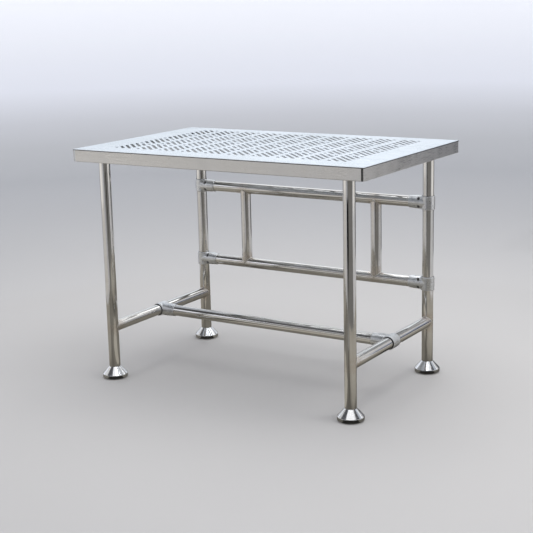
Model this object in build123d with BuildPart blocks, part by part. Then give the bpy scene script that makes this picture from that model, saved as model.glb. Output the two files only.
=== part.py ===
from build123d import *
from math import cos, sin, sqrt, radians
import os

os.makedirs("parts", exist_ok=True)

# ---------------------------------------------------------------- dimensions
# X runs along the long side, Y towards the rear frame, Z up, origin on the
# floor under the middle of the top.
top_length = 1208.0
top_width = 755.0
top_height = 884.0
sheet_t = 1.5

apron_h = 46.0            # from the top surface down to the lower bend
apron_t = 1.5
apron_top_flange = 24.0
apron_low_flange = 20.0
apron_lip = 8.0
apron_bend = 2.6          # outer bend radius
apron_inset = 1.2         # the sheet stands proud of the folded channels
return_w = 3.0            # the side channels fold round the corner by this much
corner_gap = 6.5          # open joint between that fold and the front channel

slot_columns = 10
slot_column_pitch = 100.0
slot_rows = 4
slot_row_pitch = 150.0
slot_cell_width = 80.0
slot_cell_depth = 137.0
slot_field_y = 12.0       # the slotted field sits a little towards the rear
slot_pitch = 30.0         # along Y, slots lie at 45 degrees
slot_w = 11.0

tube_r = 21.2             # 42.4 mm tube everywhere
leg_wall = 2.0
rail_wall = 1.5
leg_x = 513.0
leg_y = 309.0
leg_foot_z = 45.0

rail_z_upper = 656.0
rail_z_lower = 348.0
post_x = 296.0
stretcher_z = 199.0
cope = 0.02               # weld gap at the coped tube ends

clamp_sleeve_r = 25.6
clamp_half_len = 26.0
clamp_mouth = 2.2         # flare of the bore at the sleeve ends
clamp_arm_len = 73.0
clamp_arm_r = 25.3
clamp_tip_r = 23.3
clamp_bore_r = tube_r + 0.05
clamp_split = 0.5         # half of the gap between the two halves
clamp_tube_stop = 40.0    # where the gripped tube ends, from the sleeve axis
clamp_bolt_x = 31.0
clamp_bolt_off = 14.5

plate_size = 66.0
plate_t = 4.0
spigot_len = 34.0

bell_base_r = 47.5
stud_r = 8.0

under_z = top_height - sheet_t                 # underside of the sheet
apron_z = top_height - apron_h                 # lower face of the apron
plate_z = under_z - plate_t
leg_len = plate_z - leg_foot_z

# ---------------------------------------------------------------- worktop
# Each column is four rectangular cells of slots. The slot centre lines run at
# 45 degrees and are clipped to the rectangle of their cell.
half_w = slot_cell_width / 2
half_c = slot_cell_depth / 2
slot_marks = []                                # (x, y, straight length)
r_s = slot_w / 2
for row in range(slot_rows):
    yc = slot_field_y + (row - (slot_rows - 1) / 2) * slot_row_pitch
    for n in range(-3, 4):
        rel = n * slot_pitch
        lo = max(-half_w + r_s, rel - half_c + r_s)
        hi = min(half_w - r_s, rel + half_c - r_s)
        mid = (lo + hi) / 2
        slot_marks.append((mid, yc + rel - mid, (hi - lo) * sqrt(2)))

with BuildPart() as top_panel:
    with BuildSketch(Plane.XY.offset(under_z)):
        RectangleRounded(top_length, top_width, 2.0)
        for col in range(slot_columns):
            cx = (col - (slot_columns - 1) / 2) * slot_column_pitch
            for sx, sy, ln in slot_marks:
                with Locations((cx + sx, sy)):
                    SlotCenterToCenter(ln, slot_w, rotation=-45, mode=Mode.SUBTRACT)
    extrude(amount=sheet_t)
top_panel.part.label = "top_panel"
export_step(top_panel.part, "parts/top_panel.step")


def channel_points(edge):
    """Folded channel seen along its length: web on the outside."""
    t = apron_t
    edge = edge + apron_inset
    return [
        (edge, apron_z),
        (edge, under_z),
        (edge + apron_top_flange, under_z),
        (edge + apron_top_flange, under_z - t),
        (edge + t, under_z - t),
        (edge + t, apron_z + t),
        (edge + apron_low_flange - t, apron_z + t),
        (edge + apron_low_flange - t, apron_z + apron_lip),
        (edge + apron_low_flange, apron_z + apron_lip),
        (edge + apron_low_flange, apron_z),
    ]


# Plane of the outer faces of the webs.
web_x = top_length / 2 - apron_inset
web_y = top_width / 2 - apron_inset
front_end_x = web_x - return_w - corner_gap    # where the front channel stops

# Front channel: profile in the YZ plane, run along X, flanges cut at 45
# degrees behind the web.
with BuildPart() as apron_front:
    with BuildSketch(Plane.YZ):
        with BuildLine():
            Polyline(*channel_points(-top_width / 2), close=True)
        make_face()
    extrude(amount=top_length / 2, both=True)
    outer = apron_front.edges().filter_by(Axis.X).group_by(Axis.Y)[0]
    fillet(outer, apron_bend)
    with BuildSketch(Plane.XY.offset(apron_z - 5)):
        with BuildLine():
            Polyline(
                (-front_end_x, -web_y - 1),
                (front_end_x, -web_y - 1),
                (front_end_x, -web_y + 1.5),
                (front_end_x - 40, -web_y + 41.5),
                (-front_end_x + 40, -web_y + 41.5),
                (-front_end_x, -web_y + 1.5),
                close=True,
            )
        make_face()
    extrude(amount=apron_h + 10, mode=Mode.INTERSECT)
apron_front.part.label = "apron_front"
export_step(apron_front.part, "parts/apron_front.step")

with BuildPart() as apron_back:
    add(apron_front.part.rotate(Axis.Z, 180))
apron_back.part.label = "apron_back"
export_step(apron_back.part, "parts/apron_back.step")

# Fold of a side channel round the front left corner: an L in plan, with the
# same rounded edges above and below as the channels.
with BuildPart() as corner_return:
    with BuildSketch(Plane.XY.offset(apron_z)):
        with BuildLine():
            Polyline(
                (-web_x, -web_y),
                (-web_x + return_w, -web_y),
                (-web_x + return_w, -web_y + apron_t),
                (-web_x + apron_t, -web_y + apron_t),
                (-web_x + apron_t, -web_y + 14),
                (-web_x, -web_y + 14),
                close=True,
            )
        make_face()
    extrude(amount=under_z - apron_z)
    upright = corner_return.edges().filter_by(Axis.Z)
    fillet(upright.filter_by(lambda e: abs(e.center().X + web_x) < 0.01 and abs(e.center().Y + web_y) < 0.01), apron_bend)
    with BuildSketch(Plane.XZ):
        with BuildLine():
            Polyline(
                (-web_x, apron_z),
                (-web_x, under_z),
                (-web_x + 60, under_z),
                (-web_x + 60, apron_z),
                close=True,
            )
        make_face()
        fillet(vertices().group_by(Axis.X)[0], apron_bend)
    extrude(amount=top_width, both=True, mode=Mode.INTERSECT)
    with BuildSketch(Plane.YZ):
        with BuildLine():
            Polyline(
                (-web_y, apron_z),
                (-web_y, under_z),
                (-web_y + 60, under_z),
                (-web_y + 60, apron_z),
                close=True,
            )
        make_face()
        fillet(vertices().group_by(Axis.X)[0], apron_bend)
    extrude(amount=top_length, both=True, mode=Mode.INTERSECT)

# Side channels: the same profile in the XZ plane, run along Y between the
# folds, flanges cut at 45 degrees.
with BuildPart() as apron_left:
    with BuildSketch(Plane.XZ):
        with BuildLine():
            Polyline(*channel_points(-top_length / 2), close=True)
        make_face()
    extrude(amount=top_width / 2, both=True)
    outer = apron_left.edges().filter_by(Axis.Y).group_by(Axis.X)[0]
    fillet(outer, apron_bend)
    with BuildSketch(Plane.XY.offset(apron_z - 5)):
        with BuildLine():
            Polyline(
                (-web_x - 1, -web_y + 4),
                (-web_x + return_w - 2.5, -web_y + 4),
                (-web_x + return_w + 33.5, -web_y + 40),
                (-web_x + return_w + 33.5, web_y - 40),
                (-web_x + return_w - 2.5, web_y - 4),
                (-web_x - 1, web_y - 4),
                close=True,
            )
        make_face()
    extrude(amount=apron_h + 10, mode=Mode.INTERSECT)
    add(corner_return.part)
    add(mirror(corner_return.part, about=Plane.XZ))
apron_left.part.label = "apron_left"
export_step(apron_left.part, "parts/apron_left.step")

with BuildPart() as apron_right:
    add(apron_left.part.rotate(Axis.Z, 180))
apron_right.part.label = "apron_right"
export_step(apron_right.part, "parts/apron_right.step")

# Underside stiffeners: narrow channels, open below, along the table under the
# plain strips between the rows of slots, from flange to flange.
stiff_w = 15.0
stiff_h = 28.0
stiff_half = top_length / 2 - apron_inset - apron_top_flange
with BuildPart() as stiffener_middle:
    with BuildSketch(Plane.YZ):
        with Locations((slot_field_y, under_z - stiff_h / 2)):
            Rectangle(stiff_w, stiff_h)
        with Locations((slot_field_y, under_z - stiff_h / 2 - 1.5)):
            Rectangle(stiff_w - 3.0, stiff_h, mode=Mode.SUBTRACT)
    extrude(amount=stiff_half, both=True)
    fillet(
        stiffener_middle.edges()
        .filter_by(Axis.X)
        .filter_by(lambda e: abs(e.center().Z - under_z) < 0.01),
        2.2,
    )
stiffener_middle.part.label = "stiffener_middle"
export_step(stiffener_middle.part, "parts/stiffener_middle.step")

with BuildPart() as stiffener_front:
    add(stiffener_middle.part.moved(Location((0, -slot_row_pitch, 0))))
stiffener_front.part.label = "stiffener_front"
export_step(stiffener_front.part, "parts/stiffener_front.step")

with BuildPart() as stiffener_rear:
    add(stiffener_middle.part.moved(Location((0, slot_row_pitch, 0))))
stiffener_rear.part.label = "stiffener_rear"
export_step(stiffener_rear.part, "parts/stiffener_rear.step")

# ---------------------------------------------------------------- legs
corners = {"fl": (-1, -1), "fr": (1, -1), "rl": (-1, 1), "rr": (1, 1)}
grub_z = plate_z - 18.0
grub_r = 3.0

# Socket: plate under the sheet with a spigot that enters the leg tube.
with BuildPart() as socket_master:
    with BuildSketch(Plane.XY.offset(plate_z)):
        RectangleRounded(plate_size, plate_size, 6)
    extrude(amount=plate_t)
    with BuildSketch(Plane.XY.offset(plate_z - spigot_len)):
        Circle(tube_r - leg_wall - 0.05)
        Circle(tube_r - leg_wall - 5.0, mode=Mode.SUBTRACT)
    extrude(amount=spigot_len)
    chamfer(
        socket_master.edges()
        .filter_by(GeomType.CIRCLE)
        .group_by(Axis.Z)[0]
        .sort_by(SortBy.RADIUS)[-1],
        1.0,
    )
    with BuildSketch(Plane.XZ.offset(0)):
        with Locations((0, grub_z)):
            Circle(grub_r + 0.05)
    extrude(amount=40, mode=Mode.SUBTRACT)

# Leg tube: plain round tube with a hole for the locking screw.
with BuildPart() as leg_master:
    with BuildSketch(Plane.XY.offset(leg_foot_z)):
        Circle(tube_r)
        Circle(tube_r - leg_wall, mode=Mode.SUBTRACT)
    extrude(amount=leg_len)
    with BuildSketch(Plane.XZ.offset(0)):
        with Locations((0, grub_z)):
            Circle(grub_r + 0.05)
    extrude(amount=40, mode=Mode.SUBTRACT)

# Threaded plug closing the lower end of the leg.
with BuildPart() as insert_master:
    with BuildSketch(Plane.XY.offset(leg_foot_z)):
        Circle(tube_r - leg_wall - 0.05)
        Circle(stud_r + 0.08, mode=Mode.SUBTRACT)
    extrude(amount=26)
    chamfer(
        insert_master.edges()
        .filter_by(GeomType.CIRCLE)
        .group_by(Axis.Z)[-1]
        .sort_by(SortBy.RADIUS)[-1],
        1.5,
    )

# Bell of the levelling foot: straight cone down to an upright band, hollow
# below.
with BuildPart() as bell_master:
    with BuildSketch(Plane.XZ):
        with BuildLine():
            FilletPolyline(
                (stud_r + 0.05, leg_foot_z - 0.3),
                (21.8, leg_foot_z - 0.3),
                (bell_base_r, 16.2),
                (bell_base_r, 2.8),
                (40.4, 2.8),
                radius=[0.6, 1.8, 2.4],
            )
            Polyline(
                (40.4, 2.8),
                (40.4, 12.5),
                (19.0, 40.0),
                (13.0, 40.0),
                (13.0, 8.0),
                (stud_r + 0.05, 8.0),
                (stud_r + 0.05, leg_foot_z - 0.3),
            )
        make_face()
    revolve(axis=Axis.Z)

# Stud: plain cylinder on a flange, fixed in the bell.
with BuildPart() as stud_master:
    with BuildSketch(Plane.XY.offset(5.0)):
        Circle(12.6)
    extrude(amount=3.0)
    with BuildSketch(Plane.XY.offset(8.0)):
        Circle(stud_r)
    extrude(amount=82.0)
    chamfer(stud_master.faces().sort_by(Axis.Z)[-1].edges(), 1.2)

# Rubber pad under the bell.
with BuildPart() as pad_master:
    with BuildSketch(Plane.XY):
        Circle(40.1)
    extrude(amount=5.0)
    chamfer(pad_master.faces().sort_by(Axis.Z)[0].edges(), 0.8)

# One socket, leg, plug, bell, stud and pad at every corner; the screw hole
# looks towards the middle of the table.
with BuildPart() as leg_socket_fl:
    add(socket_master.part.rotate(Axis.Z, 180).moved(Location((-leg_x, -leg_y, 0))))
leg_socket_fl.part.label = "leg_socket_fl"
export_step(leg_socket_fl.part, "parts/leg_socket_fl.step")

with BuildPart() as leg_socket_fr:
    add(socket_master.part.rotate(Axis.Z, 180).moved(Location((leg_x, -leg_y, 0))))
leg_socket_fr.part.label = "leg_socket_fr"
export_step(leg_socket_fr.part, "parts/leg_socket_fr.step")

with BuildPart() as leg_socket_rl:
    add(socket_master.part.moved(Location((-leg_x, leg_y, 0))))
leg_socket_rl.part.label = "leg_socket_rl"
export_step(leg_socket_rl.part, "parts/leg_socket_rl.step")

with BuildPart() as leg_socket_rr:
    add(socket_master.part.moved(Location((leg_x, leg_y, 0))))
leg_socket_rr.part.label = "leg_socket_rr"
export_step(leg_socket_rr.part, "parts/leg_socket_rr.step")

with BuildPart() as leg_fl:
    add(leg_master.part.rotate(Axis.Z, 180).moved(Location((-leg_x, -leg_y, 0))))
leg_fl.part.label = "leg_fl"
export_step(leg_fl.part, "parts/leg_fl.step")

with BuildPart() as leg_fr:
    add(leg_master.part.rotate(Axis.Z, 180).moved(Location((leg_x, -leg_y, 0))))
leg_fr.part.label = "leg_fr"
export_step(leg_fr.part, "parts/leg_fr.step")

with BuildPart() as leg_rl:
    add(leg_master.part.moved(Location((-leg_x, leg_y, 0))))
leg_rl.part.label = "leg_rl"
export_step(leg_rl.part, "parts/leg_rl.step")

with BuildPart() as leg_rr:
    add(leg_master.part.moved(Location((leg_x, leg_y, 0))))
leg_rr.part.label = "leg_rr"
export_step(leg_rr.part, "parts/leg_rr.step")

with BuildPart() as leg_plug_fl:
    add(insert_master.part.moved(Location((-leg_x, -leg_y, 0))))
leg_plug_fl.part.label = "leg_plug_fl"
export_step(leg_plug_fl.part, "parts/leg_plug_fl.step")

with BuildPart() as leg_plug_fr:
    add(insert_master.part.moved(Location((leg_x, -leg_y, 0))))
leg_plug_fr.part.label = "leg_plug_fr"
export_step(leg_plug_fr.part, "parts/leg_plug_fr.step")

with BuildPart() as leg_plug_rl:
    add(insert_master.part.moved(Location((-leg_x, leg_y, 0))))
leg_plug_rl.part.label = "leg_plug_rl"
export_step(leg_plug_rl.part, "parts/leg_plug_rl.step")

with BuildPart() as leg_plug_rr:
    add(insert_master.part.moved(Location((leg_x, leg_y, 0))))
leg_plug_rr.part.label = "leg_plug_rr"
export_step(leg_plug_rr.part, "parts/leg_plug_rr.step")

with BuildPart() as foot_bell_fl:
    add(bell_master.part.moved(Location((-leg_x, -leg_y, 0))))
foot_bell_fl.part.label = "foot_bell_fl"
export_step(foot_bell_fl.part, "parts/foot_bell_fl.step")

with BuildPart() as foot_bell_fr:
    add(bell_master.part.moved(Location((leg_x, -leg_y, 0))))
foot_bell_fr.part.label = "foot_bell_fr"
export_step(foot_bell_fr.part, "parts/foot_bell_fr.step")

with BuildPart() as foot_bell_rl:
    add(bell_master.part.moved(Location((-leg_x, leg_y, 0))))
foot_bell_rl.part.label = "foot_bell_rl"
export_step(foot_bell_rl.part, "parts/foot_bell_rl.step")

with BuildPart() as foot_bell_rr:
    add(bell_master.part.moved(Location((leg_x, leg_y, 0))))
foot_bell_rr.part.label = "foot_bell_rr"
export_step(foot_bell_rr.part, "parts/foot_bell_rr.step")

with BuildPart() as foot_stud_fl:
    add(stud_master.part.moved(Location((-leg_x, -leg_y, 0))))
foot_stud_fl.part.label = "foot_stud_fl"
export_step(foot_stud_fl.part, "parts/foot_stud_fl.step")

with BuildPart() as foot_stud_fr:
    add(stud_master.part.moved(Location((leg_x, -leg_y, 0))))
foot_stud_fr.part.label = "foot_stud_fr"
export_step(foot_stud_fr.part, "parts/foot_stud_fr.step")

with BuildPart() as foot_stud_rl:
    add(stud_master.part.moved(Location((-leg_x, leg_y, 0))))
foot_stud_rl.part.label = "foot_stud_rl"
export_step(foot_stud_rl.part, "parts/foot_stud_rl.step")

with BuildPart() as foot_stud_rr:
    add(stud_master.part.moved(Location((leg_x, leg_y, 0))))
foot_stud_rr.part.label = "foot_stud_rr"
export_step(foot_stud_rr.part, "parts/foot_stud_rr.step")

with BuildPart() as foot_pad_fl:
    add(pad_master.part.moved(Location((-leg_x, -leg_y, 0))))
foot_pad_fl.part.label = "foot_pad_fl"
export_step(foot_pad_fl.part, "parts/foot_pad_fl.step")

with BuildPart() as foot_pad_fr:
    add(pad_master.part.moved(Location((leg_x, -leg_y, 0))))
foot_pad_fr.part.label = "foot_pad_fr"
export_step(foot_pad_fr.part, "parts/foot_pad_fr.step")

with BuildPart() as foot_pad_rl:
    add(pad_master.part.moved(Location((-leg_x, leg_y, 0))))
foot_pad_rl.part.label = "foot_pad_rl"
export_step(foot_pad_rl.part, "parts/foot_pad_rl.step")

with BuildPart() as foot_pad_rr:
    add(pad_master.part.moved(Location((leg_x, leg_y, 0))))
foot_pad_rr.part.label = "foot_pad_rr"
export_step(foot_pad_rr.part, "parts/foot_pad_rr.step")

# Locking screws, one per leg, driven in from the inner side of the leg.
with BuildPart() as leg_grub_screws:
    for sx, sy in corners.values():
        inward = Plane(
            origin=(sx * leg_x, sy * (leg_y - tube_r + leg_wall + 4.6), grub_z),
            x_dir=(1, 0, 0),
            z_dir=(0, -sy, 0),
        )
        with BuildSketch(inward):
            Circle(grub_r)
        extrude(amount=6.4)
        with BuildSketch(inward.offset(6.4)):
            RegularPolygon(1.75, 6)
        extrude(amount=-3.0, mode=Mode.SUBTRACT)
leg_grub_screws.part.label = "leg_grub_screws"
export_step(leg_grub_screws.part, "parts/leg_grub_screws.step")

# ---------------------------------------------------------------- rear frame
rail_half = leg_x - clamp_tube_stop - 0.2

with BuildPart() as rear_rail_upper:
    with BuildSketch(Plane.YZ):
        with Locations((leg_y, rail_z_upper)):
            Circle(tube_r)
            Circle(tube_r - rail_wall, mode=Mode.SUBTRACT)
    extrude(amount=rail_half, both=True)
rear_rail_upper.part.label = "rear_rail_upper"
export_step(rear_rail_upper.part, "parts/rear_rail_upper.step")

with BuildPart() as rear_rail_lower:
    with BuildSketch(Plane.YZ):
        with Locations((leg_y, rail_z_lower)):
            Circle(tube_r)
            Circle(tube_r - rail_wall, mode=Mode.SUBTRACT)
    extrude(amount=rail_half, both=True)
rear_rail_lower.part.label = "rear_rail_lower"
export_step(rear_rail_lower.part, "parts/rear_rail_lower.step")

# Posts between the rails, ends coped to the round rails.
with BuildPart() as rear_post_left:
    with BuildSketch(Plane.XY.offset(rail_z_lower)):
        with Locations((-post_x, leg_y)):
            Circle(tube_r)
            Circle(tube_r - rail_wall, mode=Mode.SUBTRACT)
    extrude(amount=rail_z_upper - rail_z_lower)
    with BuildSketch(Plane.YZ.offset(-post_x)):
        with Locations((leg_y, rail_z_lower), (leg_y, rail_z_upper)):
            Circle(tube_r + cope)
    extrude(amount=40, both=True, mode=Mode.SUBTRACT)
rear_post_left.part.label = "rear_post_left"
export_step(rear_post_left.part, "parts/rear_post_left.step")

with BuildPart() as rear_post_right:
    add(rear_post_left.part.moved(Location((2 * post_x, 0, 0))))
rear_post_right.part.label = "rear_post_right"
export_step(rear_post_right.part, "parts/rear_post_right.step")

# ---------------------------------------------------------------- low frame
with BuildPart() as side_stretcher_left:
    with BuildSketch(Plane.XZ):
        with Locations((-leg_x, stretcher_z)):
            Circle(tube_r)
            Circle(tube_r - rail_wall, mode=Mode.SUBTRACT)
    extrude(amount=leg_y, both=True)
    with BuildSketch(Plane.XY.offset(stretcher_z)):
        with Locations((-leg_x, -leg_y), (-leg_x, leg_y)):
            Circle(tube_r + cope)
    extrude(amount=40, both=True, mode=Mode.SUBTRACT)
side_stretcher_left.part.label = "side_stretcher_left"
export_step(side_stretcher_left.part, "parts/side_stretcher_left.step")

with BuildPart() as side_stretcher_right:
    add(side_stretcher_left.part.moved(Location((2 * leg_x, 0, 0))))
side_stretcher_right.part.label = "side_stretcher_right"
export_step(side_stretcher_right.part, "parts/side_stretcher_right.step")

with BuildPart() as centre_stretcher:
    with BuildSketch(Plane.YZ):
        with Locations((0, stretcher_z)):
            Circle(tube_r)
            Circle(tube_r - rail_wall, mode=Mode.SUBTRACT)
    extrude(amount=rail_half, both=True)
centre_stretcher.part.label = "centre_stretcher"
export_step(centre_stretcher.part, "parts/centre_stretcher.step")

# ---------------------------------------------------------------- clamps
# Tee clamp in its own frame: sleeve axis Z, arm along +X, halves parted at
# the plane of the two axes (Y = 0).
with BuildPart() as clamp_body:
    with BuildSketch(Plane.XY):
        Circle(clamp_sleeve_r)
    extrude(amount=clamp_half_len, both=True)
    chamfer(
        clamp_body.edges()
        .filter_by(GeomType.CIRCLE)
        .filter_by(lambda e: abs(abs(e.center().Z) - clamp_half_len) < 0.01),
        1.2,
    )
    with BuildSketch(Plane.XZ):
        with BuildLine():
            Polyline(
                (0, 0),
                (0, clamp_arm_r),
                (clamp_bolt_x + 12, clamp_arm_r),
                (clamp_arm_len - 1.5, clamp_tip_r + 0.3),
                (clamp_arm_len, clamp_tip_r - 1.0),
                (clamp_arm_len, 0),
                close=True,
            )
        make_face()
    revolve(axis=Axis.X)
    with BuildSketch(Plane.XY):
        Circle(clamp_bore_r)
    extrude(amount=clamp_half_len + 1, both=True, mode=Mode.SUBTRACT)
    with BuildSketch(Plane.XZ):
        for end in (-1, 1):
            with BuildLine():
                Polyline(
                    (clamp_bore_r - 1.0, end * (clamp_half_len + 0.5)),
                    (clamp_bore_r + clamp_mouth + 0.4, end * (clamp_half_len + 0.5)),
                    (clamp_bore_r - 0.4, end * (clamp_half_len - 3.2)),
                    (clamp_bore_r - 1.0, end * (clamp_half_len - 3.2)),
                    close=True,
                )
            make_face()
    revolve(axis=Axis.Z, mode=Mode.SUBTRACT)
    with BuildSketch(Plane.YZ.offset(clamp_tube_stop)):
        Circle(clamp_bore_r)
    extrude(amount=clamp_arm_len, mode=Mode.SUBTRACT)

bolt_seat = -12.5
with BuildPart() as half_a_master:
    add(clamp_body.part)
    with BuildSketch(Plane.XZ.offset(clamp_split)):
        with Locations((24, 0)):
            Rectangle(140, 80)
    extrude(amount=60, mode=Mode.INTERSECT)
    with BuildSketch(Plane.XZ.offset(-bolt_seat)):
        with Locations((clamp_bolt_x, clamp_bolt_off), (clamp_bolt_x, -clamp_bolt_off)):
            Circle(5.4)
    extrude(amount=20, mode=Mode.SUBTRACT)
    with BuildSketch(Plane.XZ):
        with Locations((clamp_bolt_x, clamp_bolt_off), (clamp_bolt_x, -clamp_bolt_off)):
            Circle(3.3)
    extrude(amount=20, mode=Mode.SUBTRACT)

with BuildPart() as half_b_master:
    add(clamp_body.part)
    with BuildSketch(Plane.XZ.offset(-clamp_split)):
        with Locations((24, 0)):
            Rectangle(140, 80)
    extrude(amount=-60, mode=Mode.INTERSECT)
    with BuildSketch(Plane.XZ):
        with Locations((clamp_bolt_x, clamp_bolt_off), (clamp_bolt_x, -clamp_bolt_off)):
            Circle(3.05)
    extrude(amount=-15, mode=Mode.SUBTRACT)

# Socket head screw pair of one clamp.
with BuildPart() as bolt_pair:
    with BuildSketch(Plane.XZ.offset(-bolt_seat)):
        with Locations((clamp_bolt_x, clamp_bolt_off), (clamp_bolt_x, -clamp_bolt_off)):
            Circle(5.0)
    extrude(amount=5.6)
    with BuildSketch(Plane.XZ.offset(-bolt_seat)):
        with Locations((clamp_bolt_x, clamp_bolt_off), (clamp_bolt_x, -clamp_bolt_off)):
            Circle(3.0)
    extrude(amount=-26)
    with BuildSketch(Plane.XZ.offset(-bolt_seat + 5.6)):
        with Locations((clamp_bolt_x, clamp_bolt_off), (clamp_bolt_x, -clamp_bolt_off)):
            RegularPolygon(2.9, 6)
    extrude(amount=-3.2, mode=Mode.SUBTRACT)

right_a = mirror(half_a_master.part, about=Plane.YZ)
right_b = mirror(half_b_master.part, about=Plane.YZ)
right_bolts = mirror(bolt_pair.part, about=Plane.YZ)

with BuildPart() as clamp_rl_upper_front:
    add(half_a_master.part.moved(Location((-leg_x, leg_y, rail_z_upper))))
clamp_rl_upper_front.part.label = "clamp_rl_upper_front"
export_step(clamp_rl_upper_front.part, "parts/clamp_rl_upper_front.step")

with BuildPart() as clamp_rl_upper_back:
    add(half_b_master.part.moved(Location((-leg_x, leg_y, rail_z_upper))))
clamp_rl_upper_back.part.label = "clamp_rl_upper_back"
export_step(clamp_rl_upper_back.part, "parts/clamp_rl_upper_back.step")

with BuildPart() as clamp_rl_lower_front:
    add(half_a_master.part.moved(Location((-leg_x, leg_y, rail_z_lower))))
clamp_rl_lower_front.part.label = "clamp_rl_lower_front"
export_step(clamp_rl_lower_front.part, "parts/clamp_rl_lower_front.step")

with BuildPart() as clamp_rl_lower_back:
    add(half_b_master.part.moved(Location((-leg_x, leg_y, rail_z_lower))))
clamp_rl_lower_back.part.label = "clamp_rl_lower_back"
export_step(clamp_rl_lower_back.part, "parts/clamp_rl_lower_back.step")

with BuildPart() as clamp_rr_upper_front:
    add(right_a.moved(Location((leg_x, leg_y, rail_z_upper))))
clamp_rr_upper_front.part.label = "clamp_rr_upper_front"
export_step(clamp_rr_upper_front.part, "parts/clamp_rr_upper_front.step")

with BuildPart() as clamp_rr_upper_back:
    add(right_b.moved(Location((leg_x, leg_y, rail_z_upper))))
clamp_rr_upper_back.part.label = "clamp_rr_upper_back"
export_step(clamp_rr_upper_back.part, "parts/clamp_rr_upper_back.step")

with BuildPart() as clamp_rr_lower_front:
    add(right_a.moved(Location((leg_x, leg_y, rail_z_lower))))
clamp_rr_lower_front.part.label = "clamp_rr_lower_front"
export_step(clamp_rr_lower_front.part, "parts/clamp_rr_lower_front.step")

with BuildPart() as clamp_rr_lower_back:
    add(right_b.moved(Location((leg_x, leg_y, rail_z_lower))))
clamp_rr_lower_back.part.label = "clamp_rr_lower_back"
export_step(clamp_rr_lower_back.part, "parts/clamp_rr_lower_back.step")

# Low clamps: sleeve along Y on the side stretcher, screw heads below.
with BuildPart() as clamp_low_left_bottom:
    add(half_a_master.part.rotate(Axis.X, 90).moved(Location((-leg_x, 0, stretcher_z))))
clamp_low_left_bottom.part.label = "clamp_low_left_bottom"
export_step(clamp_low_left_bottom.part, "parts/clamp_low_left_bottom.step")

with BuildPart() as clamp_low_left_top:
    add(half_b_master.part.rotate(Axis.X, 90).moved(Location((-leg_x, 0, stretcher_z))))
clamp_low_left_top.part.label = "clamp_low_left_top"
export_step(clamp_low_left_top.part, "parts/clamp_low_left_top.step")

with BuildPart() as clamp_low_right_bottom:
    add(right_a.rotate(Axis.X, 90).moved(Location((leg_x, 0, stretcher_z))))
clamp_low_right_bottom.part.label = "clamp_low_right_bottom"
export_step(clamp_low_right_bottom.part, "parts/clamp_low_right_bottom.step")

with BuildPart() as clamp_low_right_top:
    add(right_b.rotate(Axis.X, 90).moved(Location((leg_x, 0, stretcher_z))))
clamp_low_right_top.part.label = "clamp_low_right_top"
export_step(clamp_low_right_top.part, "parts/clamp_low_right_top.step")

# All clamp screws are the same screw: one group of separate solids.
with BuildPart() as clamp_bolts:
    add(bolt_pair.part.moved(Location((-leg_x, leg_y, rail_z_upper))))
    add(bolt_pair.part.moved(Location((-leg_x, leg_y, rail_z_lower))))
    add(right_bolts.moved(Location((leg_x, leg_y, rail_z_upper))))
    add(right_bolts.moved(Location((leg_x, leg_y, rail_z_lower))))
    add(bolt_pair.part.rotate(Axis.X, 90).moved(Location((-leg_x, 0, stretcher_z))))
    add(right_bolts.rotate(Axis.X, 90).moved(Location((leg_x, 0, stretcher_z))))
clamp_bolts.part.label = "clamp_bolts"
export_step(clamp_bolts.part, "parts/clamp_bolts.step")
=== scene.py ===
import math

import bpy
import bmesh
from mathutils import Matrix, Vector


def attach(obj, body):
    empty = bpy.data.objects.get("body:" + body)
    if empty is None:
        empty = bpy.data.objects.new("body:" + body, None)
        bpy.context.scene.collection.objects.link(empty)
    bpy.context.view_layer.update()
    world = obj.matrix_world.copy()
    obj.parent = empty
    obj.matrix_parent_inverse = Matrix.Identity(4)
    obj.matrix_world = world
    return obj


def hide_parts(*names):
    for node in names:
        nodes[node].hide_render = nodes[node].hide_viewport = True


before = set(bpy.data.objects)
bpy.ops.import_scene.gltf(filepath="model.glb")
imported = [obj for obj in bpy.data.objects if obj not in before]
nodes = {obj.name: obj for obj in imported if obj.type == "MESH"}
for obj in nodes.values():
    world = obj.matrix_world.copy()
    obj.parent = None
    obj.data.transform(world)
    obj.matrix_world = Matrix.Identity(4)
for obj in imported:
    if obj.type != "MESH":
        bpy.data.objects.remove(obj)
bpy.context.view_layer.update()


# ------------------------------------------------------------------ camera
# The photograph's viewing angle: high long-lens view over the front right
# corner of the table.
def make_camera():
    yaw, pitch, roll = 0.5636, 0.2253, -0.0235
    fwd = Vector((-math.sin(yaw), math.cos(yaw), 0.0))
    right = Vector((math.cos(yaw), math.sin(yaw), 0.0))
    up = Vector((0.0, 0.0, 1.0))
    f2 = math.cos(pitch) * fwd - math.sin(pitch) * up
    u2 = math.sin(pitch) * fwd + math.cos(pitch) * up
    r3 = math.cos(roll) * right + math.sin(roll) * u2
    u3 = -math.sin(roll) * right + math.cos(roll) * u2
    cam = bpy.data.cameras.new("photo_camera")
    cam.sensor_width = 36.0
    cam.lens = 82.67
    cam.shift_y = 1.0 / 533.0
    cam.clip_start = 0.05
    cam.clip_end = 60.0
    ob = bpy.data.objects.new("photo_camera", cam)
    bpy.context.scene.collection.objects.link(ob)
    m = Matrix.Identity(4)
    for i in range(3):
        m[i][0] = r3[i]
        m[i][1] = u3[i]
        m[i][2] = -f2[i]
    m[0][3], m[1][3], m[2][3] = 2.3959, -3.8051, 1.4502
    ob.matrix_world = m
    bpy.context.scene.camera = ob


make_camera()
bpy.context.scene.view_settings.view_transform = "Standard"
bpy.context.scene.view_settings.look = "None"


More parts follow.
